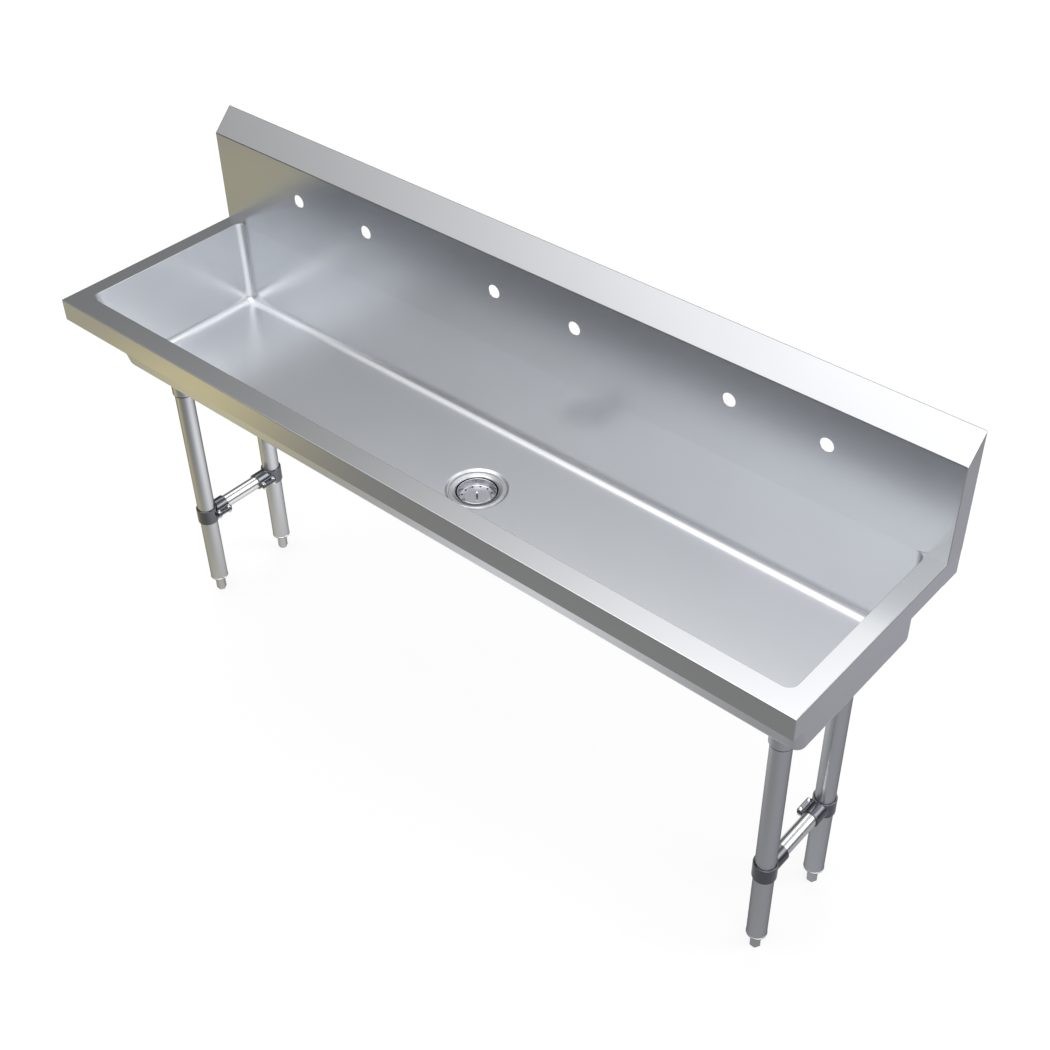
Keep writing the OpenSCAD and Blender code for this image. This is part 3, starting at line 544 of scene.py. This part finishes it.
# Feet: cast stainless steel, with a hexagon body drawn in to a flat at the bottom, and a thread that
# runs up into the plug. The faces are left as cast.
FOOT_FLAT_R = 7 * MM
FOOT_EDGE = 1.2 * MM
FOOT_TOE_IN = 1.5 * FOOT_EDGE
FOOT_TOE_H = 4 * FOOT_EDGE
THREAD_R = 7.95 * MM
THREAD_STEPS = 32
cast_stainless = finish("cast_stainless", (0.62, 0.63, 0.65), 0.16, grain_size=2 * MM, bump=0.2,
                        cloud=0.08, edge_shade=EDGE_SHADE)
for corner in CORNERS:
    line, foot_r, low_z, high_z = box_middle(f"{corner}_foot")
    body_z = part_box(f"{corner}_plug")[0].z - 2 * FIT
    foot = turned([(0, 0), (FOOT_FLAT_R, 0), (foot_r - FOOT_TOE_IN, FOOT_EDGE), (foot_r, FOOT_TOE_H),
                   (foot_r, body_z - FOOT_EDGE), (foot_r - FOOT_EDGE, body_z), (0, body_z)], line, 6,
                  closed=False)
    bmesh.ops.create_cone(foot, cap_ends=True, segments=THREAD_STEPS, radius1=THREAD_R, radius2=THREAD_R,
                          depth=high_z - body_z,
                          matrix=Matrix.Translation(line + Vector((0, 0, (high_z + body_z) / 2))))
    piece(f"{corner}_hex_foot", foot, cast_stainless, f"{corner}_levelling_foot", "foot_steel",
          f"{corner}_foot")

# Cross rails: bright tubes polished along their length. They run from front to rear, one at each end, and
# are held at each of their own ends by a tee clamp.
RAIL_WALL = 1.2 * MM
RAIL_STEPS = 96
bright_tube = finish("bright_tube", (0.82, 0.825, 0.84), 0.22, grain=(1, 12, 1), grain_size=0.4 * MM,
                     spread=0.02)
for side in ("left", "right"):
    low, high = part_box(f"{side}_cross_rail")
    rail_r = (high.x - low.x) / 2
    bore_r = rail_r - RAIL_WALL
    length = high.y - low.y
    tube = turned([(bore_r, 0), (rail_r, 0), (rail_r, length), (bore_r, length)], Vector(), RAIL_STEPS)
    laid_down(tube, Vector(((low.x + high.x) / 2, low.y, (low.z + high.z) / 2)))
    piece(f"{side}_rail_tube", tube, bright_tube, "sink", "rail_steel", f"{side}_cross_rail")

# Tee clamps: die cast, dark and slightly pitted, with every edge rounded by the mould. Two bright pan
# head screws with hexagon nuts draw the lips of each clamp together.
CAST_GRAIN = 0.7 * MM
CAST_PASSES = 6
clamp_metal = finish("dark_casting", (0.165, 0.17, 0.19), 0.2, grain_size=1.6 * MM, bump=0.25,
                     spread=0.06, cloud=0.2)
for corner in CORNERS:
    casting = bmesh.new()
    casting.from_mesh(nodes[f"{corner}_clamp"].data)
    bmesh.ops.remove_doubles(casting, verts=casting.verts, dist=HAIR)
    casting = worked(casting, "REMESH", mode="VOXEL", voxel_size=CAST_GRAIN, use_smooth_shade=True)
    casting = worked(casting, "SMOOTH", factor=0.5, iterations=CAST_PASSES)
    piece(f"{corner}_clamp_casting", casting, clamp_metal, "sink", "clamp_metal", f"{corner}_clamp",
          sharp=70)
dress(finish("plated_screw", (0.84, 0.85, 0.86), 0.18, cloud=0.04), "clamp_screws", "clamp_nuts")

# Strainer body: drawn stainless, with a polished flange that lies in the bowl's recess, dished to a
# rolled throat. Its cone, flat seat, threaded outlet and the cross over the outlet are painted near
# black as painted shade deep in the drain.
# Heights in the drain are from the bowl's bottom.
DRAIN_STEPS = 128
FLANGE_R = 57.15 * MM
LIP_Z = -1.6 * MM
LIP_ROUND = 1 * MM
CROWN_IN = 5 * MM
CROWN_ROUND = 3 * MM
DISH_TURN = 101
DISH_DROP = 1.2 * MM
THROAT_R = 42.5 * MM
THROAT_ROLL = 3.5 * MM
THROAT_LOW = -10.2 * MM
CUP_R = 44.4 * MM
SHOULDER_R = 46 * MM
SHOULDER_LOW = -7 * MM
drain = Vector((0, DRAIN_Y, floor_z))
flange = turned(
    arc(FLANGE_R - LIP_ROUND, LIP_Z - LIP_ROUND, LIP_ROUND, 0, 90) +
    arc(FLANGE_R - CROWN_IN, LIP_Z - CROWN_ROUND, CROWN_ROUND, 90, DISH_TURN, 2) +
    arc(THROAT_R + THROAT_ROLL, LIP_Z - DISH_DROP - THROAT_ROLL, THROAT_ROLL, DISH_TURN, 180, 10) +
    [(THROAT_R, THROAT_LOW), (CUP_R, THROAT_LOW), (CUP_R, SHOULDER_LOW), (SHOULDER_R, -RECESS_DEEP),
     (FLANGE_R, -RECESS_DEEP)], drain, DRAIN_STEPS)
drain_steel = finish("drawn_stainless", (0.6, 0.605, 0.62), 0.2, grain_size=0.8 * MM, spread=0.04)
piece("strainer_flange", flange, drain_steel, "sink", "drain_steel", "strainer_body")

CONE_TOP_R = 42.1 * MM
CONE_TOP = -11 * MM
CONE_R = 28 * MM
CONE_LOW = -36 * MM
CUP_LOW = -21 * MM
SEAT_Z = -38 * MM
SEAT_OUT_R = 29.9 * MM
OUTLET_R = 19 * MM
OUTLET_EASE = 1 * MM
OUTLET_LOW = -65 * MM
PIPE_R = 23.7 * MM
PIPE_TOP = -43 * MM
CROSS_LEN = 39 * MM
CROSS_W = 1.9 * MM
CROSS_H = 3 * MM
CROSS_Z = -45.7 * MM
outlet = turned(
    [(THROAT_R, THROAT_LOW), (CONE_TOP_R, CONE_TOP), (CONE_R, CONE_LOW), (CONE_R, SEAT_Z),
     (OUTLET_R + OUTLET_EASE, SEAT_Z), (OUTLET_R, SEAT_Z - OUTLET_EASE), (OUTLET_R, OUTLET_LOW),
     (PIPE_R, OUTLET_LOW), (PIPE_R, PIPE_TOP), (SEAT_OUT_R, SEAT_Z), (CUP_R, CUP_LOW),
     (CUP_R, THROAT_LOW)], drain, DRAIN_STEPS)
for quarter in (0, math.pi / 2):
    bmesh.ops.create_cube(outlet, size=1, matrix=Matrix.Translation(drain + Vector((0, 0, CROSS_Z))) @
                          Matrix.Rotation(quarter, 4, "Z") @
                          Matrix.Diagonal((CROSS_LEN, CROSS_W, CROSS_H, 1)))
# The cup is painted near black: painted shade deep in the drain.
drain_painted_shade = finish("drain_cup_painted_shade", (0.05, 0.05, 0.055), 0.55, grain_size=0.8 * MM, cloud=0.1)
piece("strainer_cup", outlet, drain_painted_shade, "sink", "drain_steel", "strainer_body")

# Strainer basket: drawn cup with a rolled rim, twelve perforations round its floor, a raised middle and
# a hub below for the post.
BASKET_R = 40 * MM
BASKET_T = 0.9 * MM
BASKET_RIM_Z = -5.4 * MM
RIM_ROLL = 1 * MM
BASKET_FLOOR_R = 36.5 * MM
BASKET_FLOOR_Z = -19.8 * MM
INNER_BEND = 2 * MM
INNER_BEND_IN = 3 * MM
OUTER_BEND = 2.8 * MM
RAISED_R = 27 * MM
RAISED_H = 1.2 * MM
HUB_R = 5 * MM
HUB_BORE_R = 2.4 * MM
HUB_DROP = 2 * MM
HOLES = 12
HOLE_R = 2.3 * MM
HOLE_RING_R = 31 * MM
HOLE_STEPS = 24
DRILL = 4 * MM
raised_z = BASKET_FLOOR_Z + RAISED_H
under_z = BASKET_FLOOR_Z - BASKET_T
basket = turned(
    [(HUB_BORE_R, raised_z)] +
    arc(RAISED_R - INNER_BEND, raised_z - INNER_BEND, INNER_BEND, 90, 60, 3) +
    arc(RAISED_R + INNER_BEND, BASKET_FLOOR_Z + INNER_BEND, INNER_BEND, 240, 270, 3) +
    arc(BASKET_FLOOR_R - INNER_BEND_IN, BASKET_FLOOR_Z + INNER_BEND, INNER_BEND, 270, 345, 5) +
    arc(BASKET_R - RIM_ROLL, BASKET_RIM_Z - RIM_ROLL, RIM_ROLL, 165, -75, 10) +
    arc(BASKET_FLOOR_R - OUTER_BEND, under_z + OUTER_BEND, OUTER_BEND, -12, -90, 6) +
    [(RAISED_R + RAISED_H, under_z), (RAISED_R, under_z + RAISED_H), (HUB_R, under_z + RAISED_H),
     (HUB_R, under_z - HUB_DROP), (HUB_BORE_R, under_z - HUB_DROP)], drain, DRAIN_STEPS)
cutter = bmesh.new()
for hole in range(HOLES):
    angle = 2 * math.pi * hole / HOLES
    from_drain = Vector((HOLE_RING_R * math.cos(angle), HOLE_RING_R * math.sin(angle), BASKET_FLOOR_Z))
    bmesh.ops.create_cone(cutter, cap_ends=True, segments=HOLE_STEPS, radius1=HOLE_R, radius2=HOLE_R,
                          depth=DRILL, matrix=Matrix.Translation(drain + from_drain))
drill = as_object("drill", cutter)
basket = worked(basket, "BOOLEAN", object=drill, operation="DIFFERENCE", solver="EXACT")
bpy.data.meshes.remove(drill.data)
basket_steel = finish("bright_basket", (0.56, 0.565, 0.595), 0.22, grain_size=0.8 * MM, spread=0.03)
piece("basket", basket, basket_steel, "basket", "bright_steel", "basket_cup")

# Post: thin turned rod, dark below a small bright knob that lifts the basket. It carries the stopper on
# a flat head at its lower end.
POST_R = 1.4 * MM
POST_LOW = -29.6 * MM
POST_STEPS = 32
HEAD_R = 4 * MM
HEAD_T = 1.5 * MM
KNOB_TOP = -7.6 * MM
KNOB_FLAT_R = 1.2 * MM
KNOB_EDGE = 1.8 * MM
knob_low = KNOB_TOP - 1.8 * KNOB_EDGE
post = turned([(0, KNOB_TOP)] + arc(KNOB_FLAT_R, KNOB_TOP - KNOB_EDGE, KNOB_EDGE, 90, -30, 8) +
              [(POST_R, knob_low), (POST_R, POST_LOW), (HEAD_R, POST_LOW), (HEAD_R, POST_LOW - HEAD_T),
               (0, POST_LOW - HEAD_T)], drain, POST_STEPS, closed=False)
knob = piece("post", post, bright_steel, "stopper", "bright_steel", "stopper_post")
second_material(knob, black_oxide_and_painted_shade, lambda middle: middle.z < floor_z + knob_low)
dress(drain_steel, "stopper_plate", "basket_clip")

# Drain's hidden joint: rubber gasket and stopper, card ring, brass locknut and coupling nut, plastic
# washer, and a plated tailpiece.
dress(finish("black_rubber", (0.02, 0.02, 0.02), 0.6, metallic=0, bump=0.2, cloud=0.2),
      "strainer_gasket", "stopper_seal")
dress(finish("grey_card", (0.28, 0.25, 0.20), 0.9, metallic=0, cloud=0.15), "friction_ring")
dress(finish("cast_brass", (0.55, 0.52, 0.44), 0.38, bump=0.4, cloud=0.08), "locknut")
dress(finish("plated_tube", (0.80, 0.81, 0.82), 0.14, cloud=0.03), "coupling_nut", "tailpiece")
dress(finish("white_plastic", (0.78, 0.78, 0.76), 0.45, metallic=0, cloud=0.03), "outlet_washer")


# Plain pale floor. The camera sees it white, with the sink's soft shadow; metal sees it glow soft grey,
# with broad pools of painted light: each has its place, its reach and its colour.
FLOOR_HALF = 20
SHADOW_SHARE = 0.2
FLOOR_PALE = (0.92, 0.92, 0.92, 1)
FLOOR_TONE = (0.284, 0.28, 0.27)
PAINTED_LIGHT_POOLS = [(-1.54, -0.94, 0.25, (0.66, 0.54, 0.18)), (-2.5, -1.05, 0.4, (0.34, 0.3, 0.13)),
         (-1.22, -0.3, 0.3, (0.42, 0.36, 0.14)), (-0.08, 0.0, 0.34, (0.75, 0.75, 0.78)),
         (-0.3, 0.5, 0.34, (0.45, 0.45, 0.47)), (1.3, 1.1, 0.7, (0.2, 0.2, 0.25)),
         (1.4, -0.4, 0.5, (0.12, 0.12, 0.15)), (0.48, 0.5, 0.2, (0.6, 0.58, 0.45)),
         (-1.3, 0.3, 0.25, (0.35, 0.33, 0.2)), (-0.7, 0.1, 0.2, (0.16, 0.16, 0.17)),
         (0.8, 0.05, 0.13, (0.06, 0.06, 0.07))]

ground = bmesh.new()
bmesh.ops.create_grid(ground, x_segments=1, y_segments=1, size=FLOOR_HALF)
floor = as_object("floor", ground)
floor_look = bpy.data.materials.new("pale_floor")
floor_look.use_nodes = True
tree = floor_look.node_tree
tree.nodes.clear()
link = tree.links.new
place = tree.nodes.new("ShaderNodeTexCoord")
rays = tree.nodes.new("ShaderNodeLightPath")
seen_white = tree.nodes.new("ShaderNodeEmission")
seen_white.inputs["Color"].default_value = (1, 1, 1, 1)
seen_white.inputs["Strength"].default_value = 1
lit = tree.nodes.new("ShaderNodeBsdfDiffuse")
lit.inputs["Color"].default_value = FLOOR_PALE
white_and_shadow = tree.nodes.new("ShaderNodeMixShader")
white_and_shadow.inputs["Fac"].default_value = SHADOW_SHARE
tone = FLOOR_TONE
# Each pool adds painted light to the glowing grey that metal sees in the floor.
for x, y, reach, colour in PAINTED_LIGHT_POOLS:
    apart = worked_out(tree, "ShaderNodeVectorMath", "DISTANCE", place.outputs["Object"], (x, y, 0))
    apart = worked_out(tree, "ShaderNodeMath", "MULTIPLY", apart, apart)
    fading = worked_out(tree, "ShaderNodeMath", "MULTIPLY", apart, -0.5 / reach ** 2)
    light_pool = worked_out(tree, "ShaderNodeMath", "EXPONENT", fading)
    tone = worked_out(tree, "ShaderNodeVectorMath", "MULTIPLY_ADD", light_pool, colour, tone)
seen_grey = tree.nodes.new("ShaderNodeEmission")
for_metal = tree.nodes.new("ShaderNodeMixShader")
for_camera = tree.nodes.new("ShaderNodeMixShader")
seen = worked_out(tree, "ShaderNodeMath", "MAXIMUM", rays.outputs["Is Camera Ray"],
                  rays.outputs["Is Transmission Ray"])
result = tree.nodes.new("ShaderNodeOutputMaterial")
link(tone, seen_grey.inputs["Color"])
link(seen_white.outputs["Emission"], white_and_shadow.inputs[1])
link(lit.outputs["BSDF"], white_and_shadow.inputs[2])
link(rays.outputs["Is Glossy Ray"], for_metal.inputs["Fac"])
link(lit.outputs["BSDF"], for_metal.inputs[1])
link(seen_grey.outputs["Emission"], for_metal.inputs[2])
link(seen, for_camera.inputs["Fac"])
link(for_metal.outputs["Shader"], for_camera.inputs[1])
link(white_and_shadow.outputs["Shader"], for_camera.inputs[2])
link(for_camera.outputs["Shader"], result.inputs["Surface"])
floor.data.materials.append(floor_look)

# Studio light: a dim room with broad soft lamps overhead, towards the back right, the front and the
# right. Each is a soft round glow: its azimuth and elevation, how tight it is, and its strength.
ROOM = 0.02
LAMPS = [(300, 55, 9, 2.6), (340, 22, 9, 1.8), (34, 40, 26, 4.2), (160, 3, 9, 0.14), (180, 76, 22, 3.8),
         (115, 54, 22, 2.1), (234, 49, 18.6, 1.375), (195, 31, 22, 0.35), (150, 30, 30, 0.07)]

world = bpy.data.worlds.new("studio")
bpy.context.scene.world = world
world.use_nodes = True
tree = world.node_tree
link = tree.links.new
place = tree.nodes.new("ShaderNodeTexCoord")
towards = worked_out(tree, "ShaderNodeVectorMath", "NORMALIZE", place.outputs["Generated"])
light = ROOM
for azimuth, elevation, tightness, strength in LAMPS:
    azimuth, elevation = math.radians(azimuth), math.radians(elevation)
    lamp = (math.cos(azimuth) * math.cos(elevation), math.sin(azimuth) * math.cos(elevation),
            math.sin(elevation))
    aligned = worked_out(tree, "ShaderNodeVectorMath", "DOT_PRODUCT", towards, lamp)
    falloff = worked_out(tree, "ShaderNodeMath", "MULTIPLY_ADD", aligned, tightness, -tightness)
    glow = worked_out(tree, "ShaderNodeMath", "EXPONENT", falloff)
    light = worked_out(tree, "ShaderNodeMath", "MULTIPLY_ADD", glow, strength, light)
tree.nodes["Background"].inputs["Color"].default_value = (1, 1, 1, 1)
link(light, tree.nodes["Background"].inputs["Strength"])
